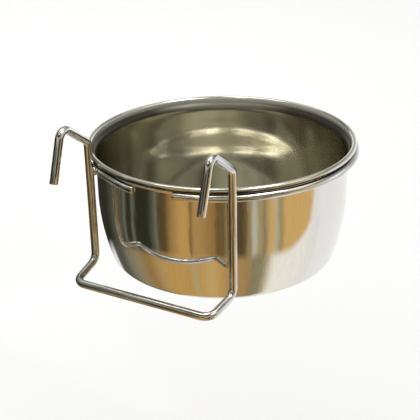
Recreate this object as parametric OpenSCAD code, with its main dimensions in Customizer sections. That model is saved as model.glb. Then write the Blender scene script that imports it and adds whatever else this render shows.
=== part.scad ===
// Hook-on seed cup: a pressed steel cup that rests by its rolled rim in an
// open wire ring, welded to a bent wire hanger with two hooks and a foot bar.
// Frame: +Z up, -Y towards the outside of the cage. The origin lies on the
// axis of the cage rail that the hooks drop over, midway between the hooks.

/* [Cup] */
// Outside diameter of the rolled rim
rim_d = 127; // [100:1:160]
// Overall height of the cup, base to rim
cup_h = 58.4; // [45:0.2:80]
// Thickness of the pressed sheet
sheet_t = 0.7; // [0.5:0.05:0.9]
// Diameter of the bead that the rim is rolled into
bead_d = 2.6; // [2.4:0.1:3]
// How far the sheet turns round the bead, in degrees
curl_turn = 280; // [200:5:285]
// Upright lip between the bead and the step
lip_h = 0.3; // [0.1:0.1:0.6]
// How far the wall steps in under the rim
step_w = 2; // [1.6:0.1:3]
// Height of that step
step_h = 4; // [3.6:0.1:5]
// Height of the straight stretch of wall under the step
straight_h = 18; // [8:0.5:24]
// Draft of the straight wall, in degrees
wall_draft = 0.1; // [0:0.1:2]
// Radius of the long curve that draws the wall in towards the base
belly_r = 102; // [85:1:180]
// Radius of the corner between wall and base
corner_r = 4.5; // [3:0.5:9]

/* [Support ring] */
// Diameter of the ring's wire
ring_wire_d = 3.4; // [2.6:0.1:3.6]
// How far the ring's wire lies outside the centre of the bead
ring_out = 0.7; // [0.5:0.1:1]
// Height of the ring below the rail's axis
ring_drop = 20.5; // [14:0.5:32]
// Opening between the ring's two ends, in degrees
ring_open = 17.2; // [8:0.2:50]

/* [Hanger] */
// Diameter of the hanger's wire
hanger_wire_d = 3.7; // [3:0.1:4.5]
// Diameter of the cage rail that the hooks fit
rail_d = 4.2; // [2.5:0.1:6]
// Distance between the hooks, centre to centre
hook_spacing = 72.6; // [50:0.2:90]
// Depth of the hook tips below the rail's axis
tip_drop = 17; // [10:0.5:26]
// Outward lean of the hook tips, in degrees
tip_lean = 18.5; // [5:0.5:30]
// Slope of the arms below the horizontal, in degrees
arm_slope = 35.6; // [20:0.2:45]
// Distance of the legs behind the rail's axis
leg_set = 15.7; // [12:0.1:24]
// Depth of the leg's lower bend below the rail's axis
leg_drop = 64; // [50:0.5:90]
// Bend radius at the top of the legs
knee_r = 4; // [3:0.5:6]
// Bend radius at the bottom of the legs
ankle_r = 5; // [3:0.5:8]
// Distance of the foot bar in front of the rail's axis
foot_set = 2.1; // [0:0.1:6]
// Fall of the foot from the legs to the bar
foot_fall = 3.4; // [0:0.1:8]
// Width of the foot bar between its bends, centre to centre
foot_w = 69.6; // [40:0.2:90]
// Bend radius at the ends of the foot bar
foot_r = 5; // [3:0.5:9]

/* [Welds] */
// Diameter of the weld nugget where a leg crosses the ring
weld_d = 4; // [3.6:0.1:5]

/* [Hidden] */

// Clearances: bead above ring, rail inside hook, and leg, ring and nugget from each other
seat_gap = 0.2;
rail_play = 0.15;
weld_gap = 0.05;

// Each straight run of wire laps into its bends, a hair thinner than they are
run_lap = 0.1;
run_shy = 0.01;

// Facets of wire, of welds and of turned forms, and steps of each profile arc
wire_fn = 48;
weld_fn = 96;
turn_fn = 180;
curl_steps = 18;
step_steps = 6;
belly_steps = 10;
corner_steps = 8;

// Rolled rim: the curl's centre and the sheet's own radius in it
bead_r = bead_d / 2;
half_t = sheet_t / 2;
curl_r = bead_r - half_t;
bead_centre_r = rim_d / 2 - bead_r;
lip_r = bead_centre_r - curl_r;

// Step under the rim: two equal arcs that meet halfway
step_turn = 2 * atan(step_w / step_h);
step_r = step_h / (2 * sin(step_turn));

// Wall: the belly's arc ends where the remaining height is used up
belly_mid_r = belly_r - half_t;
corner_mid_r = corner_r - half_t;
curved_h = cup_h - bead_r - lip_h - step_h - straight_h - half_t;
belly_share = (curved_h - corner_mid_r + belly_mid_r * sin(wall_draft)) / (belly_mid_r - corner_mid_r);
belly_turn = asin(belly_share);
belly_in = belly_mid_r * (cos(wall_draft) - cos(belly_turn));
base_flat_r = lip_r - step_w - straight_h * tan(wall_draft) - belly_in - corner_mid_r * cos(belly_turn);

// Where the ring and the cup sit
ring_r = bead_centre_r + ring_out;
ring_seat_h = sqrt(pow(bead_r + ring_wire_d / 2 + seat_gap, 2) - pow(ring_out, 2));
bead_z = ring_seat_h - ring_drop;
cup_z = bead_z + bead_r - cup_h;
leg_reach = ring_r + ring_wire_d / 2 + weld_gap + hanger_wire_d / 2;
cup_y = leg_set + sqrt(pow(leg_reach, 2) - pow(hook_spacing / 2, 2));

// Hook: its crown is bent round the rail's axis
crown_r = rail_d / 2 + rail_play + hanger_wire_d / 2;
apex_scale = crown_r / (1 + sin(tip_lean - arm_slope));
apex_y = apex_scale * (sin(arm_slope) - cos(tip_lean));
apex_z = apex_scale * (sin(tip_lean) + cos(arm_slope));
tip_y = apex_y - (apex_z + tip_drop) * tan(tip_lean);
knee_z = apex_z - (leg_set - apex_y) * tan(arm_slope);

// Corners of the hanger's centreline, left tip to left end of the foot bar
half_hanger = [
    [-hook_spacing / 2, tip_y, -tip_drop],
    [-hook_spacing / 2, apex_y, apex_z],
    [-hook_spacing / 2, leg_set, knee_z],
    [-hook_spacing / 2, leg_set, -leg_drop],
    [-foot_w / 2, -foot_set, -leg_drop - foot_fall]
];
half_radii = [0, crown_r, knee_r, ankle_r, foot_r];
last = len(half_hanger) - 1;
hanger_line = concat(half_hanger, [for (i = [last : -1 : 0]) mirrored(half_hanger[i])]);
hanger_radii = concat(half_radii, [for (i = [last : -1 : 0]) half_radii[i]]);

function mirrored(p) = [-p[0], p[1], p[2]];
function unit(v) = v / norm(v);

// A strip's path as [r, z, heading]: one arc, walked in equal steps
function arc_walk(start, r, turn, steps) =
    let (side = sign(turn), h0 = start[2])
    [for (i = [1 : steps])
        let (h = h0 + turn * i / steps)
        [start[0] + side * r * (sin(h) - sin(h0)), start[1] + side * r * (cos(h0) - cos(h)), h]];
function line_walk(start, length) =
    [start[0] + length * cos(start[2]), start[1] + length * sin(start[2]), start[2]];
function end_of(list) = list[len(list) - 1];

// The sheet's middle line, from the centre of the base out and up to the curl's free edge
base_edge = [base_flat_r, half_t, 0];
corner_arc = arc_walk(base_edge, corner_mid_r, 90 - belly_turn, corner_steps);
belly_arc = arc_walk(end_of(corner_arc), belly_mid_r, belly_turn - wall_draft, belly_steps);
wall_top = line_walk(end_of(belly_arc), straight_h / cos(wall_draft));
step_foot = [wall_top[0], wall_top[1], 90];
step_out = arc_walk(step_foot, step_r, -step_turn, step_steps);
step_up = arc_walk(end_of(step_out), step_r, step_turn, step_steps);
lip_top = line_walk(end_of(step_up), lip_h);
curl = arc_walk(lip_top, curl_r, -curl_turn, curl_steps);
sheet_path = concat([[0, half_t, 0], base_edge], corner_arc, belly_arc, [wall_top], step_out, step_up, [lip_top], curl);

function beside(p, d) = [p[0] - d * sin(p[2]), p[1] + d * cos(p[2])];
function strip_outline(path, t) =
    concat(
        [for (p = path) beside(p, -t / 2)],
        [for (i = [len(path) - 1 : -1 : 0]) beside(path[i], t / 2)]
    );

module cup_place() {
    translate([0, cup_y, cup_z]) children();
}

module ring_place() {
    translate([0, cup_y, -ring_drop]) children();
}

module cup() {
    color("silver")
        cup_place()
            rotate_extrude($fn = turn_fn)
                polygon(strip_outline(sheet_path, sheet_t));
}

// The ring is open at the front, between the legs
module support_ring() {
    color("gainsboro")
        ring_place()
            rotate([0, 0, 270 + ring_open / 2])
                rotate_extrude(angle = 360 - ring_open, $fn = turn_fn)
                    translate([ring_r, 0])
                        circle(d = ring_wire_d, $fn = wire_fn);
}

// One straight length of wire between two points, lapped into the bends at its ends
module wire_run(a, b, d, lap_a, lap_b) {
    v = unit(b - a);
    translate(a - v * lap_a)
        rotate([0, acos(v[2]), atan2(v[1], v[0])])
            cylinder(h = norm(b - a) + lap_a + lap_b, d = d - 2 * run_shy, $fn = wire_fn);
}

// Distance from a corner to where its bend of radius r starts
function bend_set(a, b, c, r) =
    let (turn = acos(unit(b - a) * unit(c - b)))
    r * tan(turn / 2);

// One bend of radius r at corner b, between the runs a-b and b-c
module wire_bend(a, b, c, r, d) {
    inward = unit(b - a);
    onward = unit(c - b);
    turn = acos(inward * onward);
    start = b - inward * bend_set(a, b, c, r);
    side = unit(onward - inward * (inward * onward));
    centre = start + side * r;
    out = -side;
    pole = cross(out, inward);
    translate(centre)
        rotate([atan2(inward[2], pole[2]), -asin(out[2]), atan2(out[1], out[0])])
            rotate_extrude(angle = turn, $fn = turn_fn)
                translate([r, 0])
                    circle(d = d, $fn = wire_fn);
}

// A wire along a line of corners, each rounded to its own bend radius
module bent_wire(line, radii, d) {
    ends = len(line) - 1;
    for (i = [0 : ends - 1]) {
        v = unit(line[i + 1] - line[i]);
        first = i == 0;
        final = i == ends - 1;
        from = first ? 0 : bend_set(line[i - 1], line[i], line[i + 1], radii[i]);
        upto = final ? 0 : bend_set(line[i], line[i + 1], line[i + 2], radii[i + 1]);
        wire_run(line[i] + v * from, line[i + 1] - v * upto, d, first ? 0 : run_lap, final ? 0 : run_lap);
    }
    for (i = [1 : ends - 1])
        wire_bend(line[i - 1], line[i], line[i + 1], radii[i], d);
}

module hanger_wire() {
    color("lightgray") bent_wire(hanger_line, hanger_radii, hanger_wire_d);
}

// A nugget fills the crevice where a leg crosses the ring; side is -1 on the left.
// It is shaped with +X along the line from the cup's axis to the leg.
module weld(side) {
    contact_r = ring_r + (ring_wire_d + weld_gap) / 2;
    color("darkgray")
        ring_place()
            rotate([0, 0, atan2(leg_set - cup_y, side * hook_spacing / 2)])
                difference() {
                    translate([contact_r, 0, 0]) sphere(d = weld_d, $fn = weld_fn);
                    translate([leg_reach, 0, -weld_d])
                        cylinder(h = 2 * weld_d, d = hanger_wire_d + 2 * weld_gap, $fn = weld_fn);
                    translate([ring_r, weld_d, 0])
                        rotate([90, 0, 0])
                            cylinder(h = 2 * weld_d, d = ring_wire_d + 2 * weld_gap, $fn = weld_fn);
                }
}

module weld_left() {
    weld(-1);
}

module weld_right() {
    weld(1);
}

cup();
support_ring();
hanger_wire();
weld_left();
weld_right();
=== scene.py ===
# %% [markdown]
# # A hook-on seed cup in polished steel
#
# The object is a pressed steel cup that hangs by its rolled rim in an open ring of wire. The ring
# is welded to a second wire, which is bent into two hooks, two legs and a foot bar. The frame that
# is loaded first already holds every piece as a plain solid of true size. This script gives each
# piece a finely modelled skin and the finish of the real metal, and then lights it.

# %% Load the frame
import math

import bpy
import numpy as np
from mathutils import Matrix, Vector


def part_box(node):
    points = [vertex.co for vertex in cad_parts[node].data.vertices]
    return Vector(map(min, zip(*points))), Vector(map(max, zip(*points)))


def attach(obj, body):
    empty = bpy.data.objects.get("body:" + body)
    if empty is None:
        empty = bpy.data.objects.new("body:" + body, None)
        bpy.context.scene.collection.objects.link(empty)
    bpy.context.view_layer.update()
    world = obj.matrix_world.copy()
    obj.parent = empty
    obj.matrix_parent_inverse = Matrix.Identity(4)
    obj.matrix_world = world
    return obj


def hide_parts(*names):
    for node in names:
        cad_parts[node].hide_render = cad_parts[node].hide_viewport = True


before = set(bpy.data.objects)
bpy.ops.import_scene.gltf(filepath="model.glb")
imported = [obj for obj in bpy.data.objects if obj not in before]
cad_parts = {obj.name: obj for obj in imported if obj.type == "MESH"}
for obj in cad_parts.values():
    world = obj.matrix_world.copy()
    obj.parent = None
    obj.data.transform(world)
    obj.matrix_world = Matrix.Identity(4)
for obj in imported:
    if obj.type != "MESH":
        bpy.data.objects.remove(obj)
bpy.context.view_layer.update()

MM = 0.001

# %% [markdown]
# ## The camera
#
# The photograph looks down on the cup from the front, a little from the right. The lens and the
# place come from straight lines at known distances, whose narrowing fixes the perspective. A
# camera looks along its own -Z, so it starts by looking down and is then turned step by step:
# pitch tips it up to the scene, heading turns it about the vertical, and roll is the slight lean
# of a hand-held shot. A product of matrices keeps these turns apart, where three Euler angles
# would mix them.

# %% Camera
CAMERA_PLACE = Vector((0.22369, -0.32468, 0.15070))
CAMERA_HEADING = math.radians(30.22)
CAMERA_PITCH = math.radians(-24.21)
CAMERA_ROLL = math.radians(-1.15)
LENS_MM = 87.87
SENSOR_MM = 36.0
NEAREST_SEEN = 0.01
FARTHEST_SEEN = 50


def make_camera():
    data = bpy.data.cameras.new("camera")
    data.sensor_width = SENSOR_MM
    data.lens = LENS_MM
    data.clip_start = NEAREST_SEEN
    data.clip_end = FARTHEST_SEEN
    camera = bpy.data.objects.new("camera", data)
    bpy.context.scene.collection.objects.link(camera)
    heading = Matrix.Rotation(CAMERA_HEADING, 4, "Z")
    pitch = Matrix.Rotation(math.radians(90) + CAMERA_PITCH, 4, "X")
    roll = Matrix.Rotation(CAMERA_ROLL, 4, "Z")
    camera.matrix_world = Matrix.Translation(CAMERA_PLACE) @ heading @ pitch @ roll
    bpy.context.scene.camera = camera


make_camera()
print("camera", round(CAMERA_PLACE.length, 3), "m from the origin, lens", LENS_MM, "mm")

# %% [markdown]
# ## Sizes that the pieces share
#
# The cup's axis, the ring's height and its wire's thickness are read from the frame's own boxes,
# so that a skin can't drift from the solid that it stands for. What a box can't tell, such as the
# radius of a bend, is named in millimetres where its piece is made.

# %% Shared sizes
ring_low, ring_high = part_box("support_ring")
cup_low, cup_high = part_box("cup")
hanger_low, hanger_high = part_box("hanger_wire")

RING_WIRE_R = (ring_high.z - ring_low.z) / 2
RING_R = (ring_high.x - ring_low.x) / 2 - RING_WIRE_R
AXIS_Y = ring_high.y - RING_R - RING_WIRE_R
RING_Z = (ring_high.z + ring_low.z) / 2
HANGER_WIRE_R = 1.85 * MM
HOOK_X = 36.3 * MM
print("cup axis at y", round(AXIS_Y / MM, 2), "mm, ring radius", round(RING_R / MM, 2), "mm")
print("hanger box in mm:", [round(v / MM, 1) for v in hanger_high - hanger_low])

# %% [markdown]
# ## The cup's profile
#
# A deep-drawn cup is one thin sheet, so its shape is a single line turned about the axis: the flat
# base, a small corner, a long belly, a straight stretch, a step that widens under the rim, and the
# bead that the edge is rolled into. It could be a list of points, but then every change of size
# would need a new list, and each small error would show as a dent in the reflections. Here the
# line is walked from the centre outwards as straight runs and arcs, and each point keeps its
# heading, so that the next arc starts where the last one ends, without a kink.

# %% Walking a line
SHEET_T = 0.7 * MM
BEAD_R = 1.3 * MM
CURL_TURN = 280
LIP_H = 0.3 * MM
STEP_W = 2.0 * MM
STEP_H = 4.0 * MM
STRAIGHT_H = 18.0 * MM
WALL_DRAFT = 0.1
BELLY_R = 102.0 * MM
CORNER_R = 4.5 * MM
RIM_R = (cup_high.x - cup_low.x) / 2
CUP_H = cup_high.z - cup_low.z


def sin(degrees):
    return math.sin(math.radians(degrees))


def cos(degrees):
    return math.cos(math.radians(degrees))


def tan(degrees):
    return math.tan(math.radians(degrees))


def walk_arc(line, radius, turn, steps):
    """Adds an arc to a line of (r, z, heading) points; a positive turn bends it upwards."""
    r0, z0, h0 = line[-1]
    side = math.copysign(1, turn)
    for i in range(1, steps + 1):
        h = h0 + turn * i / steps
        out = side * radius * (sin(h) - sin(h0))
        up = side * radius * (cos(h0) - cos(h))
        line.append((r0 + out, z0 + up, h))


def walk_line(line, length, steps):
    """Adds a straight run that keeps the heading of the line's last point."""
    r0, z0, h0 = line[-1]
    for i in range(1, steps + 1):
        line.append((r0 + length * i / steps * cos(h0), z0 + length * i / steps * sin(h0), h0))


print("rim radius", round(RIM_R / MM, 2), "mm, cup", round(CUP_H / MM, 2), "mm deep")

# %% [markdown]
# ## From sizes to a line
#
# The real cup is known by a dozen sizes, such as how deep its step is and how steep its wall. The
# turn of each arc is solved from them, so the line always ends at the rim's true radius and
# height, and the radius of the flat base falls out last. Drawing the line by eye would be quicker,
# but then it would have to be nudged until it closed.

# %% Profile of the sheet
BASE_STEPS = 14
CORNER_STEPS = 12
BELLY_STEPS = 24
STRAIGHT_STEPS = 8
SWING_STEPS = 7
CURL_STEPS = 28


def sheet_profile():
    """The middle line of the sheet, from the centre of the base to the free edge of the curl."""
    half_t = SHEET_T / 2
    curl_r = BEAD_R - half_t
    lip_r = RIM_R - BEAD_R - curl_r
    step_turn = 2 * math.degrees(math.atan(STEP_W / STEP_H))
    step_r = STEP_H / (2 * sin(step_turn))
    belly_r = BELLY_R - half_t
    corner_r = CORNER_R - half_t
    curved_h = CUP_H - BEAD_R - LIP_H - STEP_H - STRAIGHT_H - half_t
    belly_rise = (curved_h - corner_r + belly_r * sin(WALL_DRAFT)) / (belly_r - corner_r)
    belly_turn = math.degrees(math.asin(belly_rise))
    belly_in = belly_r * (cos(WALL_DRAFT) - cos(belly_turn))
    foot_r = lip_r - STEP_W - STRAIGHT_H * tan(WALL_DRAFT) - belly_in
    line = [(0, half_t, 0)]
    walk_line(line, foot_r - corner_r * cos(belly_turn), BASE_STEPS)
    walk_arc(line, corner_r, 90 - belly_turn, CORNER_STEPS)
    walk_arc(line, belly_r, belly_turn - WALL_DRAFT, BELLY_STEPS)
    walk_line(line, STRAIGHT_H / cos(WALL_DRAFT), STRAIGHT_STEPS)
    line[-1] = (line[-1][0], line[-1][1], 90)
    walk_arc(line, step_r, -step_turn, SWING_STEPS)
    walk_arc(line, step_r, step_turn, SWING_STEPS)
    walk_line(line, LIP_H, 1)
    walk_arc(line, curl_r, -CURL_TURN, CURL_STEPS)
    return line


profile = sheet_profile()
print(len(profile), "points; base radius", round(profile[BASE_STEPS][0] / MM, 1), "mm")

# %% [markdown]
# ## Tools for the bench
#
# Blender's operators act on whatever is selected and active, as a hand acts on what it holds. So
# the first helper lays everything down, the second names a piece and fixes its place in its mesh,
# and the third puts a modifier to work for good. The same lines could be typed out for each piece,
# but a step that is forgotten once, such as a deselect, spoils two pieces at a time.

# %% Helpers for modelling
SMOOTH_BELOW = math.radians(40)


def start_clean():
    """Leaves edit mode and selects nothing, so that an operator acts only on what comes next."""
    if bpy.context.object and bpy.context.object.mode != "OBJECT":
        bpy.ops.object.mode_set(mode="OBJECT")
    bpy.ops.object.select_all(action="DESELECT")


def settle(name):
    """Names the active object and moves its place, turn and size into its mesh."""
    piece = bpy.context.object
    piece.name = name
    piece.data.name = name
    bpy.ops.object.transform_apply(location=True, rotation=True, scale=True)
    return piece


def apply_modifier(piece, kind, **settings):
    """Adds one modifier with the given settings and applies it."""
    modifier = piece.modifiers.new(kind.title(), kind)
    for key, value in settings.items():
        setattr(modifier, key, value)
    bpy.ops.object.modifier_apply(modifier=modifier.name)


def extrude_by(step):
    bpy.ops.mesh.extrude_region_move(TRANSFORM_OT_translate={"value": step})


def report(piece):
    triangles = sum(len(p.vertices) - 2 for p in piece.data.polygons)
    print(piece.name, len(piece.data.vertices), "points", triangles, "triangles")


start_clean()
print(len(bpy.context.selected_objects), "objects selected before the modelling starts")

# %% [markdown]
# ## Spinning the cup
#
# Pressed ware is round because it was drawn over a round punch, and Blender's spin does the same
# in one move. One point is extruded along the profile in edit mode, and the line is then spun
# about the cup's axis. The sheet gets its thickness afterwards from Solidify, half to each side,
# so that the bead closes round its own hollow as the real one does.

# %% Model the cup
CUP_TURNS = 224
CUP_PLACE = Vector((0, AXIS_Y, cup_low.z))
START_SIZE = 1 * MM
SEAM_GAP = 0.01 * MM


def point_start(place):
    """One loose point in edit mode, made from a plane that is merged to its centre."""
    start_clean()
    bpy.ops.mesh.primitive_plane_add(size=START_SIZE, location=place)
    bpy.ops.object.transform_apply(location=True, rotation=True, scale=True)
    bpy.ops.object.mode_set(mode="EDIT")
    bpy.ops.mesh.select_all(action="SELECT")
    bpy.ops.mesh.merge(type="CENTER")


def face_outwards():
    bpy.ops.mesh.select_all(action="SELECT")
    bpy.ops.mesh.normals_make_consistent(inside=False)


def make_cup():
    point_start(CUP_PLACE + Vector((profile[0][0], 0, profile[0][1])))
    for before, after in zip(profile, profile[1:]):
        extrude_by((after[0] - before[0], 0, after[1] - before[1]))
    bpy.ops.mesh.select_all(action="SELECT")
    bpy.ops.mesh.spin(steps=CUP_TURNS, angle=2 * math.pi, center=CUP_PLACE, axis=(0, 0, 1))
    bpy.ops.mesh.select_all(action="SELECT")
    bpy.ops.mesh.remove_doubles(threshold=SEAM_GAP)
    face_outwards()
    bpy.ops.object.mode_set(mode="OBJECT")
    piece = settle("cup_shell")
    apply_modifier(piece, "SOLIDIFY", thickness=SHEET_T, offset=0, use_even_offset=True)
    bpy.ops.object.mode_set(mode="EDIT")
    face_outwards()
    bpy.ops.object.mode_set(mode="OBJECT")
    bpy.ops.object.shade_smooth_by_angle(angle=SMOOTH_BELOW)
    return piece


cup_shell = make_cup()
report(cup_shell)

# %% [markdown]
# ## Wire as a bent rod
#
# A wire former clamps a straight rod and bends it at set places. A curve with a round bevel would
# be quicker, but it thins the wire in tight bends, and it isn't how the thing is made. The
# former's own moves work in edit mode too: a circle is extruded along each straight run, and spun
# round the centre of each bend. Only the rod's corners are worked out. The bends follow from
# them, so the wire keeps its thickness all the way.

# %% Rod helpers
ROD_SIDES = 32
RUN_STEP = 4.0 * MM
BEND_STEP = math.radians(6)
LEAST_BEND_STEPS = 4
END_BEVEL = 0.2 * MM
END_SEGMENTS = 2
END_MERGE = 0.002 * MM


def bend_at(before, corner, after, radius):
    """Centre, axis, angle and straight set-back of the bend at a corner."""
    inward = (corner - before).normalized()
    onward = (after - corner).normalized()
    angle = inward.angle(onward)
    setback = radius * math.tan(angle / 2)
    side = (onward - inward * inward.dot(onward)).normalized()
    centre = corner - inward * setback + side * radius
    return centre, inward.cross(side), angle, setback


def circle_across(place, direction, radius):
    """A circle of points in edit mode, square to the rod's direction."""
    start_clean()
    turn = direction.to_track_quat("Z", "Y").to_euler()
    bpy.ops.mesh.primitive_circle_add(vertices=ROD_SIDES, radius=radius, location=place, rotation=turn)
    bpy.ops.object.transform_apply(location=True, rotation=True, scale=True)
    bpy.ops.object.mode_set(mode="EDIT")
    bpy.ops.mesh.select_all(action="SELECT")


def straight_run(direction, length):
    steps = max(1, round(length / RUN_STEP))
    for _ in range(steps):
        extrude_by(direction * (length / steps))


def spin_round(centre, axis, angle, steps):
    """Spin counts its angle against the right-hand rule, so the sign is turned."""
    bpy.ops.mesh.spin(steps=steps, angle=-angle, center=centre, axis=axis)


def close_rod(name):
    """Caps both ends, rounds their edges a hair, and turns every face outwards."""
    bpy.ops.mesh.select_all(action="DESELECT")
    bpy.ops.mesh.select_mode(type="EDGE")
    bpy.ops.mesh.select_non_manifold(extend=False)
    bpy.ops.mesh.edge_face_add()
    bpy.ops.mesh.bevel(offset=END_BEVEL, segments=END_SEGMENTS)
    bpy.ops.mesh.select_all(action="SELECT")
    bpy.ops.mesh.remove_doubles(threshold=END_MERGE)
    face_outwards()
    bpy.ops.mesh.select_mode(type="FACE")
    bpy.ops.object.mode_set(mode="OBJECT")
    return settle(name)


print("a rod has", ROD_SIDES, "sides, and each bend at least", LEAST_BEND_STEPS, "steps")

# %% [markdown]
# ## The hanger
#
# One rod makes both hooks, both legs and the foot. From the left tip it climbs to the crown,
# slopes down behind it, drops as the left leg, comes forward as the foot, runs across, and then
# does the same mirrored. The corners below are where the straight runs would meet if the bends
# were sharp. The crown's radius follows from what it has to grip, with a little play.

# %% Corners of the hanger
GRIP_R = 2.1 * MM
GRIP_PLAY = 0.15 * MM
CROWN_R = GRIP_R + GRIP_PLAY + HANGER_WIRE_R
TIP_LEAN = 18.5
ARM_SLOPE = 35.6
TIP_DROP = 17.0 * MM
LEG_Y = 15.7 * MM
LEG_DROP = 64.0 * MM
FOOT_Y = -2.1 * MM
FOOT_FALL = 3.4 * MM
FOOT_HALF = 34.8 * MM
KNEE_R = 4.0 * MM
ANKLE_R = 5.0 * MM
FOOT_R = 5.0 * MM


def hanger_corners():
    """Corners and bend radii of the left half, from the hook's tip to the foot bar."""
    apex = CROWN_R / (1 + sin(TIP_LEAN - ARM_SLOPE))
    apex_y = apex * (sin(ARM_SLOPE) - cos(TIP_LEAN))
    apex_z = apex * (sin(TIP_LEAN) + cos(ARM_SLOPE))
    tip_y = apex_y - (apex_z + TIP_DROP) * tan(TIP_LEAN)
    knee_z = apex_z - (LEG_Y - apex_y) * tan(ARM_SLOPE)
    left = [
        Vector((-HOOK_X, tip_y, -TIP_DROP)),
        Vector((-HOOK_X, apex_y, apex_z)),
        Vector((-HOOK_X, LEG_Y, knee_z)),
        Vector((-HOOK_X, LEG_Y, -LEG_DROP)),
        Vector((-FOOT_HALF, FOOT_Y, -LEG_DROP - FOOT_FALL)),
    ]
    return left, [0, CROWN_R, KNEE_R, ANKLE_R, FOOT_R]


left_corners, left_radii = hanger_corners()
rod_corners = left_corners + [Vector((-p.x, p.y, p.z)) for p in reversed(left_corners)]
rod_radii = left_radii + left_radii[::-1]
print(len(rod_corners), "corners, the sharp crown", round(rod_corners[1].z / MM, 2), "mm above the grip")

# %% [markdown]
# ## Bending the rod
#
# At each corner the rod first runs straight, up to where the bend begins, and is then spun round
# the bend's own centre. A straight run is as long as the distance between its corners, less the
# set-back of the bends at both ends. Marks along the middle line are kept on the way, because the
# scoring of the wire has to follow it later.

# %% Model the hanger
BEND_MARKS = 12


def make_hanger():
    """The rod, and the points of its middle line."""
    path = [rod_corners[0]]
    circle_across(rod_corners[0], rod_corners[1] - rod_corners[0], HANGER_WIRE_R)
    setback = 0
    for i in range(1, len(rod_corners) - 1):
        before, corner, after = rod_corners[i - 1:i + 2]
        centre, axis, angle, ahead = bend_at(before, corner, after, rod_radii[i])
        run = corner - before
        direction = run.normalized()
        straight_run(direction, run.length - setback - ahead)
        spin_round(centre, axis, angle, max(LEAST_BEND_STEPS, round(angle / BEND_STEP)))
        arm = corner - direction * ahead - centre
        for k in range(BEND_MARKS + 1):
            path.append(centre + Matrix.Rotation(angle * k / BEND_MARKS, 3, axis) @ arm)
        setback = ahead
    last = rod_corners[-1] - rod_corners[-2]
    straight_run(last.normalized(), last.length - setback)
    path.append(rod_corners[-1])
    return close_rod("hanger_rod"), path


hanger_rod, hanger_path = make_hanger()
report(hanger_rod)

# %% [markdown]
# ## The ring
#
# The cup's rim rests on an open ring of thinner wire. It is one spin about the cup's axis that
# stops short of a full turn. On the real one the left end has sprung down by about a
# millimetre. Moving only the end circle would kink the wire, so it is pulled down with
# proportional editing, which fades out along the wire.

# %% Model the ring
RING_START = 280.0
RING_SWEEP = 342.0
RING_TURNS = 240
RING_MARKS = 360
END_DROOP = 1.0 * MM
DROOP_REACH = 17.0 * MM
RING_CENTRE = Vector((0, AXIS_Y, RING_Z))


def on_ring(degrees):
    return RING_CENTRE + RING_R * Vector((cos(degrees), sin(degrees), 0))


def make_ring():
    """The open ring, and the points of its middle line."""
    direction = Vector((-sin(RING_START), cos(RING_START), 0))
    circle_across(on_ring(RING_START), direction, RING_WIRE_R)
    spin_round(RING_CENTRE, (0, 0, 1), math.radians(RING_SWEEP), RING_TURNS)
    bpy.ops.transform.translate(
        value=(0, 0, -END_DROOP), use_proportional_edit=True, proportional_size=DROOP_REACH,
        proportional_edit_falloff="SMOOTH", use_proportional_connected=True)
    path = [on_ring(RING_START + RING_SWEEP * k / RING_MARKS) for k in range(RING_MARKS + 1)]
    return close_rod("ring_rod"), path


ring_rod, ring_path = make_ring()
report(ring_rod)

# %% [markdown]
# ## The two welds
#
# Each leg is spot-welded to the outside of the ring, and the squeezed metal shows as a small
# bright nugget in the crevice. A ball is flattened along the line between the wires and
# stretched along the leg. A little noise from a Displace modifier then takes away its perfect
# roundness, which sculpting would do too, but not the same way twice.

# %% Model the welds
WELD_R = 2.0 * MM
WELD_SHAPE = (0.7, 1.0, 1.05)
WELD_SIDES = 40
WELD_RINGS = 24
WELD_NOISE = 0.35 * MM
WELD_LUMPS = 1.6 * MM


def make_weld(name, side):
    to_leg = Vector((side * HOOK_X, LEG_Y - AXIS_Y, 0))
    contact = RING_CENTRE + to_leg.normalized() * (RING_R + RING_WIRE_R)
    turn = math.atan2(to_leg.y, to_leg.x)
    start_clean()
    bpy.ops.mesh.primitive_uv_sphere_add(
        segments=WELD_SIDES, ring_count=WELD_RINGS, radius=WELD_R, location=contact,
        rotation=(0, 0, turn), scale=WELD_SHAPE)
    piece = settle(name)
    lumps = bpy.data.textures.new(name + "_lumps", "CLOUDS")
    lumps.noise_scale = WELD_LUMPS
    apply_modifier(
        piece, "DISPLACE", texture=lumps, strength=WELD_NOISE, mid_level=0.5, texture_coords="LOCAL")
    bpy.ops.object.shade_smooth()
    return piece


left_nugget = make_weld("left_nugget", -1)
right_nugget = make_weld("right_nugget", 1)
report(left_nugget)
report(right_nugget)

# %% [markdown]
# ## Which way the wire was drawn
#
# Drawn wire is scored along its length by the die, so its streaks follow every bend. Object
# coordinates can't know that direction. A UV map could, but it would need a seam, so each point
# of a rod stores its place on the wire in an attribute instead: two offsets across the section,
# and the distance along the wire. A pair of axes is carried from point to point of the middle
# line, and turned no more than the line turns, so that the streaks don't twist round the wire.

# %% Store the drawing direction
DRAWN = "drawn"
PATH_STEP = 0.5 * MM
START_AXIS = (1.0, 0.3, 0.2)


def dense(path):
    """The same path with more points on its straight runs."""
    points = [path[0]]
    for a, b in zip(path, path[1:]):
        steps = max(1, math.ceil((b - a).length / PATH_STEP))
        points += [a.lerp(b, k / steps) for k in range(1, steps + 1)]
    return np.array(points)


def carried_axes(line):
    """Tangent and two axes square to it, for each point of a line."""
    tangent = np.gradient(line, axis=0)
    tangent /= np.linalg.norm(tangent, axis=1)[:, None]
    normal = np.zeros_like(line)
    first = np.cross(tangent[0], START_AXIS)
    normal[0] = first / np.linalg.norm(first)
    for i in range(1, len(line)):
        carried = normal[i - 1] - tangent[i] * (normal[i - 1] @ tangent[i])
        normal[i] = carried / np.linalg.norm(carried)
    return tangent, normal, np.cross(tangent, normal)


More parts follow.
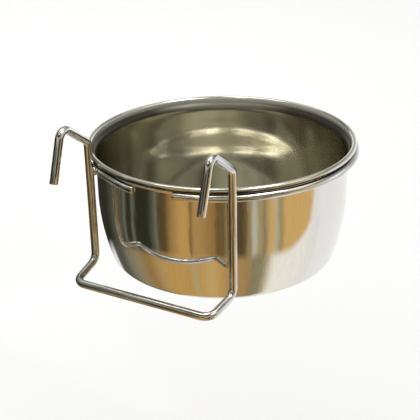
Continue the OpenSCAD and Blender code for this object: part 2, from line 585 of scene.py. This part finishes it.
def store_drawn(piece, path):
    line = dense(path)
    tangent, normal, other = carried_axes(line)
    along = np.concatenate([[0], np.cumsum(np.linalg.norm(np.diff(line, axis=0), axis=1))])
    points = np.array([v.co for v in piece.data.vertices])
    values = np.zeros((len(points), 3), np.float32)
    for k, p in enumerate(points):
        i = int(((line - p) ** 2).sum(1).argmin())
        offset = p - line[i]
        values[k] = (offset @ normal[i], offset @ other[i], along[i] + offset @ tangent[i])
    attribute = piece.data.attributes.new(DRAWN, "FLOAT_VECTOR", "POINT")
    attribute.data.foreach_set("vector", values.ravel())
    print(piece.name, "is", round(along[-1] / MM), "mm of wire")


store_drawn(hanger_rod, hanger_path)
store_drawn(ring_rod, ring_path)

# %% [markdown]
# ## Steel finishes
#
# All of it is bare steel, but no two surfaces were finished alike. A photograph wrapped round the
# cup would freeze the reflections of one moment into it, so each finish is a metallic shader
# whose colour, roughness and bump come from noise instead. Stretching that noise along the
# direction of work turns blobs into brush marks. The helpers below build such node trees in few
# lines.

# %% Helpers for node materials


def set_inputs(tree, node, inputs):
    """Links a socket or sets a value on each named or numbered input."""
    for key, value in inputs.items():
        if isinstance(value, bpy.types.NodeSocket):
            tree.links.new(value, node.inputs[key])
        else:
            node.inputs[key].default_value = value


def add_node(tree, kind, inputs, **settings):
    """Adds a node, sets its options, and then its inputs."""
    node = tree.nodes.new(kind)
    for key, value in settings.items():
        setattr(node, key, value)
    set_inputs(tree, node, inputs)
    return node


def math_of(tree, operation, *terms):
    """A Math node of two or three terms."""
    return add_node(tree, "ShaderNodeMath", dict(enumerate(terms)), operation=operation).outputs[0]


def vector_of(tree, operation, *terms):
    """A Vector Math node that gives a vector."""
    return add_node(tree, "ShaderNodeVectorMath", dict(enumerate(terms)), operation=operation).outputs[0]


def measure_of(tree, operation, *terms):
    """A Vector Math node that gives one number."""
    node = add_node(tree, "ShaderNodeVectorMath", dict(enumerate(terms)), operation=operation)
    return node.outputs["Value"]


def remap(tree, value, low, high, to_low, to_high):
    """Stretches a range of values to another range, and holds it at both ends."""
    node = add_node(tree, "ShaderNodeMapRange", {
        "Value": value, "From Min": low, "From Max": high, "To Min": to_low, "To Max": to_high})
    return node.outputs["Result"]


def tint(tree, fac, dark, light):
    """Mixes two colours; each is three numbers or a socket."""
    mix = add_node(tree, "ShaderNodeMix", {"Factor": fac}, data_type="RGBA")
    for key, colour in (("A", dark), ("B", light)):
        whole = colour if isinstance(colour, bpy.types.NodeSocket) else (*colour, 1)
        set_inputs(tree, mix, {key: whole})
    return mix.outputs["Result"]


def new_steel(name):
    material = bpy.data.materials.new(name)
    material.use_nodes = True
    tree = material.node_tree
    shader = tree.nodes["Principled BSDF"]
    shader.inputs["Metallic"].default_value = 1
    return material, tree, shader


def finished(material):
    print(material.name, "has", len(material.node_tree.nodes), "nodes")
    return material


print(len(bpy.data.materials), "materials before the finishes are made")

# %% [markdown]
# ## Brush marks
#
# A brush that runs up and down leaves marks that are narrow round the cup and long upwards. They
# could be drawn on an unrolled wall, but a wall that narrows would squeeze them. So a place on the
# cup is turned into its direction from the axis, which is the same at every height, plus a little
# of the height itself. Noise on that vector gives upright lines all round, with no seam. Noise
# seldom leaves the range from 0.3 to 0.7, so this range is what most finishes stretch.

# %% Helpers for brushed metal
CUP_AXIS = (0, AXIS_Y, 0)
NOISE_LOW = 0.3
NOISE_HIGH = 0.7


def object_place(tree):
    return add_node(tree, "ShaderNodeTexCoord", {}).outputs["Object"]


def height_of(tree):
    return add_node(tree, "ShaderNodeSeparateXYZ", {0: object_place(tree)}).outputs["Z"]


def upright_vector(tree, rise):
    """A vector that changes quickly round the cup's axis and slowly upwards, for upright brushing."""
    centred = vector_of(tree, "SUBTRACT", object_place(tree), CUP_AXIS)
    flat = vector_of(tree, "MULTIPLY", centred, (1, 1, 0))
    round_axis = vector_of(tree, "NORMALIZE", flat)
    slow = vector_of(tree, "MULTIPLY", centred, (0, 0, rise))
    return vector_of(tree, "ADD", round_axis, slow)


def round_tangent(tree):
    """Brushing runs up and down, so a highlight spreads round the cup's axis."""
    return add_node(tree, "ShaderNodeTangent", {}, direction_type="RADIAL", axis="Z").outputs["Tangent"]


def noise(tree, vector, scale, detail, roughness=0.6):
    node = add_node(tree, "ShaderNodeTexNoise", {
        "Vector": vector, "Scale": scale, "Detail": detail, "Roughness": roughness})
    return node.outputs["Fac"]


def bump(tree, height, strength, distance, below=None):
    """A bump, laid over another one if there is one below."""
    inputs = {"Height": height, "Strength": strength, "Distance": distance}
    if below is not None:
        inputs["Normal"] = below
    return add_node(tree, "ShaderNodeBump", inputs).outputs["Normal"]


print("brushing runs about an axis at y", round(AXIS_Y / MM, 1), "mm")

# %% [markdown]
# ## Outside of the cup
#
# The outside is buffed almost to a mirror and keeps only faint upright lines. Wide, soft bumps
# make the reflections sway a little, as on any thin sheet. The crevice between the bead and the
# ring gets painted shade, where the two hide each other from the light. Two ramps over the height,
# one rising and one falling, are multiplied to pick out that band without a second material.

# %% Buffed steel
BUFFED_LINES = 90
BUFFED_WAVES = 7
BUFFED_DULL = (0.74, 0.73, 0.70)
BUFFED_BRIGHT = (0.80, 0.79, 0.765)
BUFFED_ROUGH = (0.07, 0.13)
BUFFED_SMEAR = 0.6
LINE_DEPTH = 0.02 * MM
WAVE_DEPTH = 0.25 * MM
# painted shade for the crevice between the bead and the ring, where they hide each other's light
CREVICE_PAINTED_SHADE = (0.025, 0.02, 0.015)
CREVICE_TOP = cup_high.z - 1.2 * MM
CREVICE_FOOT = cup_high.z - 3.6 * MM
CREVICE_FADE = 0.4 * MM


def buffed_steel():
    material, tree, shader = new_steel("buffed_steel")
    lines = noise(tree, upright_vector(tree, rise=2), BUFFED_LINES, detail=4)
    waves = noise(tree, upright_vector(tree, rise=6), BUFFED_WAVES, detail=2)
    height = height_of(tree)
    under_bead = remap(tree, height, CREVICE_TOP - CREVICE_FADE, CREVICE_TOP, 1, 0)
    above_ring = remap(tree, height, CREVICE_FOOT, CREVICE_FOOT + CREVICE_FADE, 0, 1)
    crevice_shade = math_of(tree, "MULTIPLY", under_bead, above_ring)
    buffed = tint(tree, remap(tree, lines, NOISE_LOW, NOISE_HIGH, 0, 1), BUFFED_DULL, BUFFED_BRIGHT)
    swaying = bump(tree, waves, strength=0.25, distance=WAVE_DEPTH)
    # the crevice band mixes the base colour towards painted shade
    set_inputs(tree, shader, {
        "Base Color": tint(tree, crevice_shade, buffed, CREVICE_PAINTED_SHADE),
        "Roughness": remap(tree, lines, 0.35, 0.75, *BUFFED_ROUGH),
        "Anisotropic": BUFFED_SMEAR,
        "Tangent": round_tangent(tree),
        "Normal": bump(tree, lines, strength=0.10, distance=LINE_DEPTH, below=swaying),
    })
    return finished(material)


buffed = buffed_steel()

# %% [markdown]
# ## Inside of the cup
#
# The inside is satin, brushed up and down, so a lamp smears out sideways there. Anisotropic
# shading does that smearing far more cheaply than real scratches would, and the tangent tells it
# which way the brush went. Soft clouds in the colour keep the wall from looking like plastic.
# They fade out on the base, where they would run together in a star.

# %% Satin steel
SATIN_LINES = 150
SATIN_CLOUDS = 7
SATIN_DULL = (0.63, 0.61, 0.53)
SATIN_BRIGHT = (0.745, 0.735, 0.675)
SATIN_ROUGH = (0.08, 0.105)
SATIN_SMEAR = 0.85
MID_CLOUD = 0.5
BASE_TOP = cup_low.z + 1 * MM
WALL_FOOT = cup_low.z + 6 * MM


def satin_steel():
    material, tree, shader = new_steel("satin_steel")
    lines = noise(tree, upright_vector(tree, rise=3), SATIN_LINES, detail=5, roughness=0.7)
    clouds = noise(tree, upright_vector(tree, rise=8), SATIN_CLOUDS, detail=4, roughness=0.7)
    on_wall = remap(tree, height_of(tree), BASE_TOP, WALL_FOOT, 0, 1)
    mix = add_node(tree, "ShaderNodeMix", {"Factor": on_wall, "A": MID_CLOUD, "B": clouds})
    cloudy = remap(tree, mix.outputs["Result"], NOISE_LOW, NOISE_HIGH, 0, 1)
    set_inputs(tree, shader, {
        "Base Color": tint(tree, cloudy, SATIN_DULL, SATIN_BRIGHT),
        "Roughness": remap(tree, lines, 0.3, 0.75, *SATIN_ROUGH),
        "Anisotropic": SATIN_SMEAR,
        "Tangent": round_tangent(tree),
        "Normal": bump(tree, lines, strength=0.12, distance=LINE_DEPTH),
    })
    return finished(material)


satin = satin_steel()

# %% [markdown]
# ## Step under the rim
#
# The step gets a matte, less metallic finish, and its colour is painted shade: dark at its foot,
# with painted light near its top and on one side. A dot product with the direction of that side
# gives a number that grows towards it, which is simpler than an angle and has no seam.

# %% Matte step with painted shade
STEP_TOP = cup_high.z - BEAD_R
STEP_FOOT = STEP_TOP - LIP_H - STEP_H
# painted shade on the step: dark at its foot, with painted light near its top and on one side
STEP_PAINTED_SHADE = (0.055, 0.05, 0.04)
STEP_PAINTED_LIT_SIDE = (0.26, 0.25, 0.21)
STEP_PAINTED_LIGHT = (0.60, 0.59, 0.55)
PAINTED_LIGHT_FROM = STEP_TOP - 1.5 * MM
PAINTED_LIGHT_TO = STEP_TOP - 0.1 * MM
# the side of the step that gets painted light, and where that light fades in
LIT_SIDE = Vector((-0.5, 0.87, 0))
LIT_SIDE_FROM = 0.76 * RIM_R
LIT_SIDE_TO = 0.94 * RIM_R


def step_painted_shade():
    material, tree, shader = new_steel("step_painted_shade")
    climb = remap(tree, height_of(tree), PAINTED_LIGHT_FROM, PAINTED_LIGHT_TO, 0, 1)
    across = measure_of(tree, "DOT_PRODUCT", object_place(tree), LIT_SIDE)
    middle = LIT_SIDE.y * AXIS_Y
    lit_side_share = remap(tree, across, middle + LIT_SIDE_FROM, middle + LIT_SIDE_TO, 0, 1)
    # base colour: painted shade at the foot, painted light towards the top and towards the lit side
    set_inputs(tree, shader, {
        "Base Color": tint(tree, climb, tint(tree, lit_side_share, STEP_PAINTED_SHADE, STEP_PAINTED_LIT_SIDE), STEP_PAINTED_LIGHT),
        "Metallic": 0.35,
        "Roughness": 0.3,
        "Specular IOR Level": 0.2,
    })
    return finished(material)


matte = step_painted_shade()

# %% [markdown]
# ## Wires
#
# Both wires are bright and plated, but the die has scored them along their length. The noise
# reads the attribute that each rod stores, and its last axis, the distance along the wire, is
# squeezed, so that each score runs on for centimetres. Finer noise on the same attribute leaves
# a few pits. The ring's wire is a shade brighter than the hanger's.

# %% Bright drawn wire
SCORE_LINES = 1100
SCORE_SHAPE = (1, 1, 0.03)
SCORE_DEPTH = 0.12 * MM
WIRE_PITS = 900
PIT_DEPTH = 0.05 * MM
WIRE_ROUGH = (0.08, 0.2)


def bright_wire(name, dull, bright):
    material, tree, shader = new_steel(name)
    drawn = add_node(tree, "ShaderNodeAttribute", {}, attribute_name=DRAWN).outputs["Vector"]
    stretched = add_node(tree, "ShaderNodeMapping", {"Vector": drawn, "Scale": SCORE_SHAPE})
    lines = noise(tree, stretched.outputs["Vector"], SCORE_LINES, detail=3, roughness=0.7)
    pits = noise(tree, drawn, WIRE_PITS, detail=3)
    scored = bump(tree, lines, strength=0.5, distance=SCORE_DEPTH)
    set_inputs(tree, shader, {
        "Base Color": tint(tree, remap(tree, lines, 0.38, 0.58, 0, 1), dull, bright),
        "Roughness": remap(tree, lines, NOISE_LOW, NOISE_HIGH, *WIRE_ROUGH),
        "Normal": bump(tree, pits, strength=0.12, distance=PIT_DEPTH, below=scored),
    })
    return finished(material)


hanger_bright = bright_wire("hanger_bright", (0.35, 0.35, 0.37), (0.89, 0.90, 0.93))
ring_bright = bright_wire("ring_bright", (0.39, 0.39, 0.41), (0.90, 0.91, 0.94))

# %% [markdown]
# ## Welds
#
# Squeezed metal cools with a grain of its own, neither brushed nor drawn. A stretched noise would
# look brushed here, so plain Object coordinates are right, and one noise drives colour, roughness
# and bump together.

# %% Weld metal
WELD_GRAIN = 1500
WELD_DULL = (0.45, 0.43, 0.40)
WELD_BRIGHT = (0.75, 0.74, 0.72)
WELD_ROUGH = (0.16, 0.36)
GRAIN_DEPTH = 0.08 * MM


def weld_metal():
    material, tree, shader = new_steel("weld_metal")
    grain = noise(tree, object_place(tree), WELD_GRAIN, detail=4)
    set_inputs(tree, shader, {
        "Base Color": tint(tree, remap(tree, grain, 0.35, 0.65, 0, 1), WELD_DULL, WELD_BRIGHT),
        "Roughness": remap(tree, grain, NOISE_LOW, NOISE_HIGH, *WELD_ROUGH),
        "Normal": bump(tree, grain, strength=0.3, distance=GRAIN_DEPTH),
    })
    return finished(material)


weld = weld_metal()

# %% [markdown]
# ## Dressing the pieces
#
# The sheet is one closed shell, so its faces are sorted by the side that they are on: what looks
# towards the axis, below the bead, is satin, the step above it is matte with painted shade, and
# the rest is buffed.
# The faces could be picked by hand, but a rule on place and direction still holds when the
# profile gets more points.

# %% Finishes on the cup
SATIN_TOP = cup_high.z - 0.5 * BEAD_R
SATIN_OUT = RIM_R - 1.2 * BEAD_R
MATTE_FOOT = STEP_FOOT + 0.05 * MM
NEAR_AXIS = 1 * MM
LOOKS_UP = 0.5
LOOKS_IN = -0.2
BUFFED_SLOT, SATIN_SLOT, MATTE_SLOT = range(3)


def is_inside(face):
    """True for a face of the cup that looks into it."""
    out = Vector((face.center.x, face.center.y - AXIS_Y, 0))
    if face.center.z > SATIN_TOP or out.length > SATIN_OUT:
        return False
    if face.normal.z > LOOKS_UP:
        return True
    return out.length > NEAR_AXIS and face.normal.dot(out.normalized()) < LOOKS_IN


for finish in (buffed, satin, matte):
    cup_shell.data.materials.append(finish)
inside = [face for face in cup_shell.data.polygons if is_inside(face)]
for face in inside:
    face.material_index = MATTE_SLOT if face.center.z > MATTE_FOOT else SATIN_SLOT
print(len(inside), "faces look into the cup")

# %% [markdown]
# ## What moves with what
#
# The wires and welds are one holder, and only the cup lifts out of it. So each skin rides on its
# own body, carries the slot of its material, and stands for the solid of the same piece, which
# then no longer shows. Parenting by hand would do the first of these, but not the other two.

# %% Finishes on the wires and welds
for rod, finish in ((hanger_rod, hanger_bright), (ring_rod, ring_bright)):
    start_clean()
    bpy.context.view_layer.objects.active = rod
    rod.select_set(True)
    bpy.ops.object.shade_smooth_by_angle(angle=SMOOTH_BELOW)
    rod.data.materials.append(finish)
for nugget in (left_nugget, right_nugget):
    nugget.data.materials.append(weld)


def put(piece, body, node):
    """Rides a skin on its body, and lets it stand for a node of the frame."""
    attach(piece, body)
    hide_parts(node)
    print(piece.name, "rides on", body)


put(cup_shell, "cup", "cup")
put(hanger_rod, "holder", "hanger_wire")
put(ring_rod, "holder", "support_ring")
put(left_nugget, "holder", "weld_left")
put(right_nugget, "holder", "weld_right")

# %% [markdown]
# ## The studio
#
# Polished steel shows its surroundings more than itself, so these are built as a photographer
# would build them: a pale floor, a white surround, and cards that only reflections can see. The
# floor comes first. It could be left out against white, but then the cup would cast no shadow, so
# it is kept plain and matte and adds nothing else.

# %% Floor
FLOOR_Z = -0.20
FLOOR_HALF = 6.0
FLOOR_PALE = (0.97, 0.97, 0.97, 1)
FLOOR_ROUGH = 0.8

start_clean()
bpy.ops.mesh.primitive_plane_add(size=2 * FLOOR_HALF, location=(0, 0, FLOOR_Z))
floor = settle("floor")
floor_paint = bpy.data.materials.new("pale_floor")
floor_paint.use_nodes = True
floor_shader = floor_paint.node_tree.nodes["Principled BSDF"]
floor_shader.inputs["Base Color"].default_value = FLOOR_PALE
floor_shader.inputs["Roughness"].default_value = FLOOR_ROUGH
floor.data.materials.append(floor_paint)
print("floor", round((cup_low.z - FLOOR_Z) / MM), "mm below the cup")

# %% [markdown]
# ## Cards that only reflections can see
#
# A card is a sheet that gives off light of its own colour, with its ray visibility cut down to
# glossy rays. So it colours the steel, but lights nothing and casts no shadow. All directions are
# counted in degrees round the cup's axis, from -Y towards +X, and a colour ramp over that angle
# paints the stripes. A card is swept round the cup from one distance and height to another.

# %% Helpers for the cards
CARD_STEP = 3


def about_cup(tree):
    """Angle round the cup's axis in degrees, and distance from the axis in metres."""
    centred = vector_of(tree, "SUBTRACT", object_place(tree), CUP_AXIS)
    flat = vector_of(tree, "MULTIPLY", centred, (1, -1, 0))
    parts = add_node(tree, "ShaderNodeSeparateXYZ", {0: flat}).outputs
    angle = math_of(tree, "ARCTAN2", parts["X"], parts["Y"])
    return math_of(tree, "MULTIPLY", angle, 180 / math.pi), measure_of(tree, "LENGTH", flat)


def bands(tree, value, stops):
    """Colours that follow a value; stops are (value, (r, g, b)) in rising order."""
    low, high = stops[0][0], stops[-1][0]
    ramp = add_node(tree, "ShaderNodeValToRGB", {"Fac": remap(tree, value, low, high, 0, 1)})
    elements = ramp.color_ramp.elements
    while len(elements) < len(stops):
        elements.new(0.5)
    for element, (at, colour) in zip(elements, stops):
        element.position = (at - low) / (high - low)
        element.color = (*colour, 1)
    return ramp.outputs["Color"]


def glow(name, paint, strength=1.0):
    """A material that gives off light; paint is one colour, or a function that makes one in the tree."""
    material = bpy.data.materials.new(name)
    material.use_nodes = True
    tree = material.node_tree
    tree.nodes.clear()
    colour = paint(tree) if callable(paint) else (*paint, 1)
    light = add_node(tree, "ShaderNodeEmission", {"Strength": strength, "Color": colour})
    add_node(tree, "ShaderNodeOutputMaterial", {"Surface": light.outputs["Emission"]})
    return material


def make_card(name, corners, faces, material):
    """A sheet of light or dark that only reflections can see."""
    mesh = bpy.data.meshes.new(name)
    mesh.from_pydata(corners, [], faces)
    card = bpy.data.objects.new(name, mesh)
    bpy.context.scene.collection.objects.link(card)
    mesh.materials.append(material)
    card.visible_camera = False
    card.visible_diffuse = False
    card.visible_transmission = False
    card.visible_volume_scatter = False
    card.visible_shadow = False
    print(name, "has", len(faces), "faces")


def fan_card(name, near, far, from_turn, to_turn, material):
    """A card swept round the cup from one (distance, height) to another."""
    steps = round((to_turn - from_turn) / CARD_STEP)
    corners = []
    for i in range(steps + 1):
        turn = from_turn + (to_turn - from_turn) * i / steps
        corners += [(r * sin(turn), AXIS_Y - r * cos(turn), z) for r, z in (near, far)]
    faces = [(2 * i, 2 * i + 2, 2 * i + 3, 2 * i + 1) for i in range(steps)]
    make_card(name, corners, faces, material)


print("cards are swept in steps of", CARD_STEP, "degrees")

# %% [markdown]
# ## Warm board and dark cloth
#
# On the floor a warm board fans out to the front and right of the cup, and a dark cloth lies to
# its left. Both are striped outwards, and the curved wall turns such stripes into upright
# streaks. The straight part of the wall sees the floor far off and the belly sees it close by,
# so each card has two sets of stripes, which change places at one distance. At the right that
# edge swings inwards, which rounds off the corner of the board's reflection.

# %% Colours of the board and the cloth
INK = (0.03, 0.03, 0.02)
OLIVE = (0.06, 0.06, 0.04)
SLATE = (0.10, 0.11, 0.08)
SAGE = (0.22, 0.21, 0.14)
DRAB = (0.32, 0.27, 0.16)
MOSS = (0.29, 0.25, 0.14)
LICHEN = (0.31, 0.28, 0.17)
UMBER = (0.10, 0.07, 0.03)
BROWN = (0.18, 0.11, 0.04)
BARK = (0.25, 0.20, 0.12)
RUST = (0.36, 0.21, 0.07)
CHESTNUT = (0.43, 0.27, 0.10)
CINNAMON = (0.46, 0.28, 0.10)
GINGER = (0.46, 0.29, 0.11)
COPPER = (0.50, 0.31, 0.11)
KHAKI = (0.42, 0.30, 0.13)
DUN = (0.42, 0.30, 0.15)
HONEY = (0.46, 0.34, 0.16)
OCHRE = (0.50, 0.35, 0.14)
BRASS = (0.50, 0.36, 0.15)
CORN = (0.54, 0.41, 0.20)
WHEAT = (0.52, 0.42, 0.21)
STRAW = (0.40, 0.33, 0.17)
TAN = (0.60, 0.36, 0.11)
AMBER = (0.66, 0.45, 0.18)
SAND = (0.72, 0.47, 0.17)
FAWN = (0.56, 0.46, 0.30)
ECRU = (0.85, 0.74, 0.56)
STONE = (0.60, 0.58, 0.47)
MILK = (1.0, 0.98, 0.89)
PAPER = (0.9, 0.89, 0.86)
print("the darkest is", INK, "and the lightest", MILK)

# %% [markdown]
# ## Where each stripe lies
#
# A stop is an angle and the colour there, and the ramp blends from one stop to the next. Two stops
# close together make an edge, and two far apart a slow change, because some streaks on the real
# wall are crisp and some fade. A painted picture could do it too, but a stop is moved in a moment.

# %% Stripes of the cloth and the board
cloth_far = [
    (-125, INK), (-96, INK), (-88, OLIVE), (-81, SLATE), (-78, OLIVE), (-74, UMBER), (-70, SLATE),
    (-67, OLIVE), (-64, SAGE), (-61.5, INK), (-56, INK), (-53.5, SAGE), (-51, INK), (-36, INK),
    (-31, SLATE), (-29, SAGE), (-26, UMBER), (-20, UMBER), (-15, RUST), (-6, TAN), (0, TAN)]
cloth_near = [
    (-125, PAPER), (-103, PAPER), (-97, SLATE), (-82, SLATE), (-72, SAGE), (-58, DRAB),
    (-42, RUST), (-30, OCHRE), (-22, TAN), (0, TAN)]
board_far = [
    (0, TAN), (1.2, TAN), (2, BROWN), (3, BROWN), (5, COPPER), (12, CINNAMON), (20, RUST),
    (22.5, RUST), (24.5, BROWN), (31, BROWN), (33.5, STRAW), (36, UMBER), (45, UMBER), (49, BROWN),
    (50.5, STRAW), (52.5, RUST), (54.5, STONE), (57, STONE), (59.5, STRAW), (62, HONEY), (64.5, BARK),
    (67, BRASS), (70, SAND), (73, SAND), (75, STONE), (77, STRAW), (80, KHAKI), (83, SAND),
    (116, SAND), (121, PAPER)]
board_near = [
    (0, TAN), (2, WHEAT), (5, CORN), (8, TAN), (18, AMBER), (28, TAN), (36, DUN), (45, GINGER),
    (52, CHESTNUT), (56, MOSS), (64, LICHEN), (69, FAWN), (72, ECRU), (76, MILK), (98, MILK),
    (121, PAPER)]
print(len(cloth_far) + len(board_far), "stops far off and", len(cloth_near) + len(board_near), "close by")

# %% [markdown]
# ## Laying them out
#
# Both lie just above the floor and start close to the cup's axis, because the belly looks almost
# straight down. One paint mixes the near and the far stripes by their distance. Two sheets, one
# inside the other, would do the same, but they would meet in a hard edge that the steel shows.

# %% Lay the board and the cloth
SURROUND_R = 2.0
CARD_INNER = 0.05
CARD_LIFT = 0.001
MAT_Z = FLOOR_Z + CARD_LIFT
CLOTH_FROM = -125
BOARD_TO = 121
NEAR_END = 0.225
FAR_START = 0.262
ROUND_FROM = 80
ROUND_DEPTH = 0.34
ROUND_POWER = 2.6


def striped(far_stops, near_stops):
    """Stripes that fan out from the cup, in one set of colours close by and another far off."""
    def paint(tree):
        turn, distance = about_cup(tree)
        corner = math_of(tree, "POWER", remap(tree, turn, ROUND_FROM, BOARD_TO, 0, 1), ROUND_POWER)
        moved = math_of(tree, "MULTIPLY_ADD", corner, -ROUND_DEPTH, distance)
        share = remap(tree, moved, NEAR_END, FAR_START, 0, 1)
        return tint(tree, share, bands(tree, turn, near_stops), bands(tree, turn, far_stops))
    return paint


cloth_paint = glow("dark_cloth", striped(cloth_far, cloth_near))
board_paint = glow("warm_board", striped(board_far, board_near))
fan_card("card_cloth", (CARD_INNER, MAT_Z), (SURROUND_R, MAT_Z), CLOTH_FROM, 0, cloth_paint)
fan_card("card_board", (CARD_INNER, MAT_Z), (SURROUND_R, MAT_Z), 0, BOARD_TO, board_paint)

# %% [markdown]
# ## Walls, ceiling and small lamps
#
# Farther off stands a round wall of dim bands, one above the other, which the inside of the cup
# shows after several reflections. A dim ceiling closes it, and five small lamps hang below it.
# One plain grey would be simpler, but then every part of the cup would shine alike. The colours
# are few and named for how bright they are, so that the bands keep to one family.

# %% Colours of the walls
WARM = (1.0, 0.96, 0.82)
GLARE = (1.2, 1.17, 1.0)
DUSK = (0.03, 0.026, 0.02)
SHADE = (0.12, 0.115, 0.09)
GREY = (0.3, 0.29, 0.23)
MIST = (0.46, 0.45, 0.35)
HAZE = (0.62, 0.60, 0.49)
LINEN = (0.80, 0.77, 0.63)
CREAM = (0.85, 0.82, 0.67)
PALE = (0.9, 0.88, 0.72)

low_stops = [
    (-125, GREY), (-112, SHADE), (-100, DUSK), (-42, DUSK), (-28, SHADE), (-14, SHADE), (8, DUSK),
    (18, GREY), (36, GREY), (48, DUSK), (70, DUSK), (90, SHADE), (100, HAZE), (125, HAZE)]
strip_stops = [
    (-180, MIST), (-158, HAZE), (-150, PALE), (-142, MIST), (-125, SHADE), (-106, SHADE),
    (-90, GREY), (-55, GREY), (-30, MIST), (-5, PALE), (128, PALE), (150, MIST), (180, MIST)]
mid_stops = [
    (-180, MIST), (-140, MIST), (-122, SHADE), (-108, SHADE), (-96, GREY), (-86, GREY), (-70, GREY),
    (-45, GREY), (-30, MIST), (-12, HAZE), (2, HAZE), (20, MIST), (60, MIST), (75, GREY),
    (125, GREY), (150, MIST), (180, MIST)]
high_stops = [
    (-180, GREY), (-80, GREY), (-60, SHADE), (-30, SHADE), (20, DUSK), (60, SHADE), (78, GREY),
    (88, GLARE), (108, GLARE), (118, GREY), (180, GREY)]
ceiling_stops = [
    (-180, HAZE), (-125, LINEN), (-90, HAZE), (-60, MIST), (-20, GREY), (30, GREY), (60, MIST),
    (90, HAZE), (130, CREAM), (180, HAZE)]
print(len(low_stops) + len(strip_stops) + len(mid_stops) + len(high_stops), "stops on the walls")

# %% [markdown]
# ## Standing them up
#
# Each band is swept round the cup at one distance, from its foot to its top, and the ceiling from
# the axis out to the top of the wall. A sphere with one picture on it would need no cards, but
# bands with names can be moved and dimmed one at a time. The lowest band stops short of the back,
# where the white surround shows under the others.

# %% Stand the walls and the ceiling
LOW_TOP = 0.50
STRIP_TOP = 0.65
MID_TOP = 1.13
HIGH_TOP = 1.9
CEILING_INNER = 0.001
FRONT_HALF = 125
ALL_ROUND = 180


def by_turn(stops):
    """Stripes that follow only the angle round the cup."""
    def paint(tree):
        return bands(tree, about_cup(tree)[0], stops)
    return paint


def stand_wall(name, foot, top, half_turn, paint_name, stops):
    paint = glow(paint_name, by_turn(stops))
    fan_card(name, (SURROUND_R, foot), (SURROUND_R, top), -half_turn, half_turn, paint)


stand_wall("card_low", FLOOR_Z, LOW_TOP, FRONT_HALF, "low_band", low_stops)
stand_wall("card_strip", LOW_TOP, STRIP_TOP, ALL_ROUND, "pale_strip", strip_stops)
stand_wall("card_mid", STRIP_TOP, MID_TOP, ALL_ROUND, "mid_band", mid_stops)
stand_wall("card_high", MID_TOP, HIGH_TOP, ALL_ROUND, "high_band", high_stops)
ceiling_paint = glow("ceiling", by_turn(ceiling_stops))
ceiling_in = (CEILING_INNER, HIGH_TOP)
ceiling_out = (SURROUND_R, HIGH_TOP)
fan_card("card_ceiling", ceiling_in, ceiling_out, -ALL_ROUND, ALL_ROUND, ceiling_paint)

# %% [markdown]
# ## Hanging the lamps
#
# The lamps draw the bright arcs and the streak inside the cup. Their directions were found by
# following rays from each arc back out of the cup, and their strengths by trying. A lamp is one
# flat card that faces the cup and is sized in degrees, as the cup sees it. Real area lamps would
# light the floor and the wires as well, and these have to draw only reflections.

# %% Hang the small lamps
LAMP_DISTANCE = 1.8


def lamp_card(name, turn, rise, width, depth, strength):
    """A lamp at an angle round the cup and a rise above the horizon, all in degrees, facing the cup."""
    out = Vector((cos(rise) * sin(turn), -cos(rise) * cos(turn), sin(rise)))
    side = Vector((cos(turn), sin(turn), 0))
    across = side * LAMP_DISTANCE * tan(width / 2)
    upwards = out.cross(side) * LAMP_DISTANCE * tan(depth / 2)
    middle = RING_CENTRE + out * LAMP_DISTANCE
    corners = [middle + across * a + upwards * b for a, b in ((-1, -1), (1, -1), (1, 1), (-1, 1))]
    make_card(name, corners, [(0, 1, 2, 3)], glow(name, WARM, strength))


lamp_card("card_lamp_left", turn=-110, rise=80, width=9, depth=13, strength=8.5)
lamp_card("card_lamp_front", turn=-74, rise=71, width=12, depth=20, strength=3.6)
lamp_card("card_lamp_back", turn=136, rise=72.5, width=18, depth=12, strength=6.5)
lamp_card("card_lamp_right", turn=78, rise=61, width=24, depth=13, strength=5.4)
lamp_card("card_lamp_near", turn=3, rise=56, width=9, depth=4, strength=6.0)

# %% [markdown]
# ## Plain light
#
# The world is white to the camera and to reflections, and a little dimmer for everything else, so
# that pale things don't clip. One soft lamp from behind gives the floor its shadow. It is hidden
# from reflections, where it would sit as a bright square inside the cup. Light bounces to and fro
# between the walls of a deep cup, so glossy rays may turn more often than is usual.

# %% World and lamp
WHITE = (1, 1, 1, 1)
SEEN_STRENGTH = 1.0
LIGHT_STRENGTH = 0.8
KEY_PLACE = Vector((-0.8, 0.5, 1.6))
KEY_TARGET = Vector((0, 0.05, -0.05))
KEY_SIZE = 0.8
KEY_POWER = 10
GLOSSY_BOUNCES = 12


def make_world():
    world = bpy.data.worlds.new("surround")
    bpy.context.scene.world = world
    world.use_nodes = True
    tree = world.node_tree
    tree.nodes.clear()
    path = add_node(tree, "ShaderNodeLightPath", {}).outputs
    seen = math_of(tree, "MAXIMUM", path["Is Camera Ray"], path["Is Glossy Ray"])
    seen = math_of(tree, "MAXIMUM", seen, path["Is Transmission Ray"])
    strength = remap(tree, seen, 0, 1, LIGHT_STRENGTH, SEEN_STRENGTH)
    background = add_node(tree, "ShaderNodeBackground", {"Color": WHITE, "Strength": strength})
    add_node(tree, "ShaderNodeOutputWorld", {"Surface": background.outputs[0]})


def make_key_lamp():
    data = bpy.data.lights.new("key", "AREA")
    data.shape = "SQUARE"
    data.size = KEY_SIZE
    data.energy = KEY_POWER
    lamp = bpy.data.objects.new("key", data)
    lamp.location = KEY_PLACE
    lamp.rotation_euler = (KEY_TARGET - KEY_PLACE).to_track_quat("-Z", "Y").to_euler()
    lamp.visible_glossy = False
    bpy.context.scene.collection.objects.link(lamp)


make_world()
make_key_lamp()
bpy.context.scene.view_settings.view_transform = "Standard"
bpy.context.scene.cycles.glossy_bounces = GLOSSY_BOUNCES
print("key lamp", round((KEY_TARGET - KEY_PLACE).length, 2), "m from the cup")
